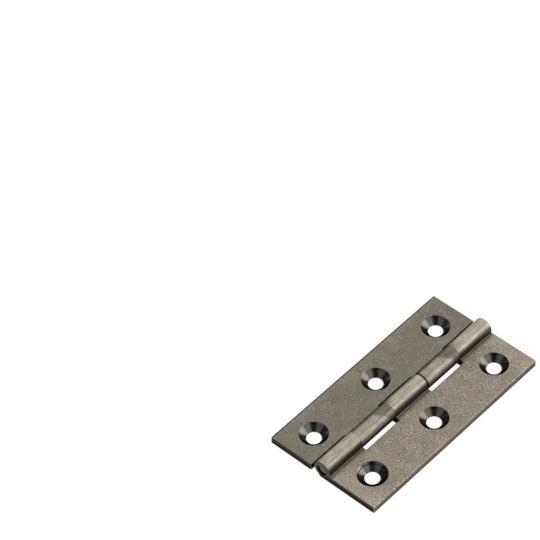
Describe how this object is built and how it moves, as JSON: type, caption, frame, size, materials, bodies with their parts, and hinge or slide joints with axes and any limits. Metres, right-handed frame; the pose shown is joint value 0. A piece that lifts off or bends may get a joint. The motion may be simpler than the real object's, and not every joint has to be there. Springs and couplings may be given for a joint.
{
  "type": "cabinet hinge",
  "caption": "Small flat butt hinge with drawn leaves, interlocking knuckles on a fixed pin and countersunk screw holes, in an aged pewter-like finish.",
  "frame": {"origin": "middle of the open hinge, on the plane of the leaves' flat backs", "axes": "+Y along the pin, +X towards the leaf with three knuckles, +Z out of the countersunk faces"},
  "size_m": [0.035, 0.064, 0.0052],
  "materials": {
    "aged_finish": "solid drawn brass with an aged pewter-like plating, satin and finely mottled",
    "pin_metal": "bare drawn brass, dulled"
  },
  "bodies": {
    "leaf_with_pin": {"three_knuckle_leaf": "aged_finish", "hinge_pin": "pin_metal"},
    "turning_leaf": {"two_knuckle_leaf": "aged_finish"}
  },
  "joints": [
    {"name": "leaf_swing", "type": "hinge", "parent": "leaf_with_pin", "child": "turning_leaf", "pos_m": [0, 0, 0.0026], "axis": [0, 1, 0], "range_deg": [-107, 183]}
  ]
}
